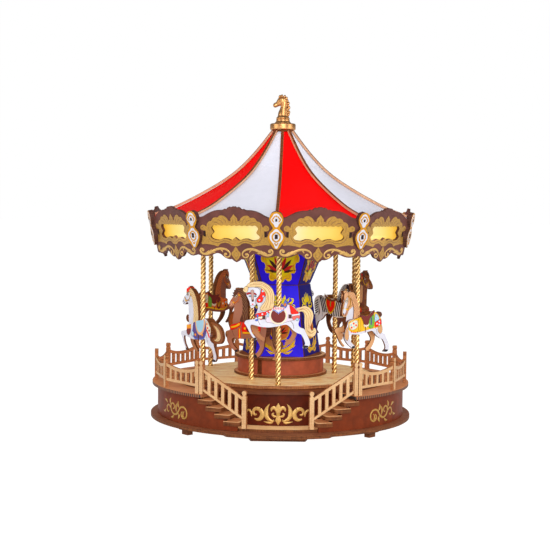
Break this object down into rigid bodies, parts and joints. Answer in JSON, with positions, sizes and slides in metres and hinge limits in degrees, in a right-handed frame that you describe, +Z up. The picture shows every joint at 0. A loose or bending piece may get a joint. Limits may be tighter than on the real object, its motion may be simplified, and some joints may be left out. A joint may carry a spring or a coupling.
{
  "type": "table-top carousel model",
  "caption": "Table-top model of a fairground carousel in painted plywood, with a striped tent roof, galloping horses on twisted gold poles, a column and railed stairs.",
  "frame": {"origin": "on the carousel's axis, at the level of the feet's undersides", "axes": "+Z up along the axis; the stairs and landing face -Y; +X to the right seen from the front"},
  "size_m": [0.2604, 0.27, 0.3253],
  "materials": {
    "base_paint": "satin brown paint",
    "drum_paint": "satin red-brown paint",
    "landing_wood": "bare birch plywood",
    "tread_paint": "satin brown paint over birch edges",
    "railing_wood": "stained birch with dark cut edges",
    "deck_paint": "satin brown paint",
    "track_paint": "satin brown paint",
    "turntable_wood": "plank pattern on birch plywood",
    "pedestal_paint": "satin brown paint with gold ornament",
    "column_paint": "blue paint with gold frames",
    "ceiling_paint": "dark satin paint",
    "fascia_paint": "dark satin paint with gold scrolls",
    "window_diffuser": "frosted warm white sheet",
    "roof_paint": "red and white satin paint by turns",
    "rib_wood": "laser-cut edges",
    "gold_plating": "gold plating",
    "pole_plating": "gold plating over a twisted rod",
    "horse_white_paint": "white paint with coloured harness",
    "horse_pinto_paint": "white and tan paint with coloured harness",
    "horse_brown_paint": "brown paint with coloured harness",
    "zebra_paint": "black and white stripes"
  },
  "bodies": {
    "base": {"base_plate": "base_paint", "front_foot": "base_paint", "foot_front_left": "base_paint", "foot_front_right": "base_paint", "foot_back_left": "base_paint", "foot_back_right": "base_paint", "drum_wall": "drum_paint", "recess_wall": "drum_paint", "landing": "landing_wood", "tread_left_1": "tread_paint", "tread_left_2": "tread_paint", "tread_left_3": "tread_paint", "tread_left_4": "tread_paint", "tread_right_1": "tread_paint", "tread_right_2": "tread_paint", "tread_right_3": "tread_paint", "tread_right_4": "tread_paint", "stair_railing_left": "railing_wood", "stair_railing_right": "railing_wood", "deck_railing": "railing_wood", "deck": "deck_paint", "track_ring": "track_paint"},
    "rotor": {"turntable": "turntable_wood", "pedestal_foot": "pedestal_paint", "pedestal_wall": "pedestal_paint", "pedestal_rim": "pedestal_paint", "column_lower": "column_paint", "column_upper": "column_paint", "ceiling_plate": "ceiling_paint", "fascia": "fascia_paint", "window_band": "window_diffuser", "roof_shell": "roof_paint", "roof_ribs": "rib_wood", "cap": "gold_plating", "finial": "gold_plating"},
    "mount_1": {"pole_1": "pole_plating", "horse_1": "horse_white_paint"},
    "mount_2": {"pole_2": "pole_plating", "horse_2": "horse_pinto_paint"},
    "mount_3": {"pole_3": "pole_plating", "horse_3": "horse_brown_paint"},
    "mount_4": {"pole_4": "pole_plating", "horse_4": "horse_white_paint"},
    "mount_5": {"pole_5": "pole_plating", "horse_5": "horse_brown_paint"},
    "mount_6": {"pole_6": "pole_plating", "horse_6": "horse_white_paint"},
    "mount_7": {"pole_7": "pole_plating", "horse_7": "horse_brown_paint"},
    "mount_8": {"pole_8": "pole_plating", "horse_8": "zebra_paint"},
    "mount_9": {"pole_9": "pole_plating", "horse_9": "horse_pinto_paint"}
  },
  "joints": [
    {"name": "carousel_spin", "type": "hinge", "parent": "base", "child": "rotor", "pos_m": [0, 0, 0.0468], "axis": [0, 0, 1], "continuous": true},
    {"name": "horse_1_gallop", "type": "slide", "parent": "rotor", "child": "mount_1", "axis": [0, 0, 1], "range_m": [-0.016, 0]},
    {"name": "horse_2_gallop", "type": "slide", "parent": "rotor", "child": "mount_2", "axis": [0, 0, 1], "range_m": [0, 0.016]},
    {"name": "horse_3_gallop", "type": "slide", "parent": "rotor", "child": "mount_3", "axis": [0, 0, 1], "range_m": [-0.016, 0]},
    {"name": "horse_4_gallop", "type": "slide", "parent": "rotor", "child": "mount_4", "axis": [0, 0, 1], "range_m": [0, 0.016]},
    {"name": "horse_5_gallop", "type": "slide", "parent": "rotor", "child": "mount_5", "axis": [0, 0, 1], "range_m": [-0.016, 0]},
    {"name": "horse_6_gallop", "type": "slide", "parent": "rotor", "child": "mount_6", "axis": [0, 0, 1], "range_m": [0, 0.016]},
    {"name": "horse_7_gallop", "type": "slide", "parent": "rotor", "child": "mount_7", "axis": [0, 0, 1], "range_m": [0, 0.016]},
    {"name": "horse_8_gallop", "type": "slide", "parent": "rotor", "child": "mount_8", "axis": [0, 0, 1], "range_m": [-0.016, 0]},
    {"name": "horse_9_gallop", "type": "slide", "parent": "rotor", "child": "mount_9", "axis": [0, 0, 1], "range_m": [0, 0.016]}
  ]
}
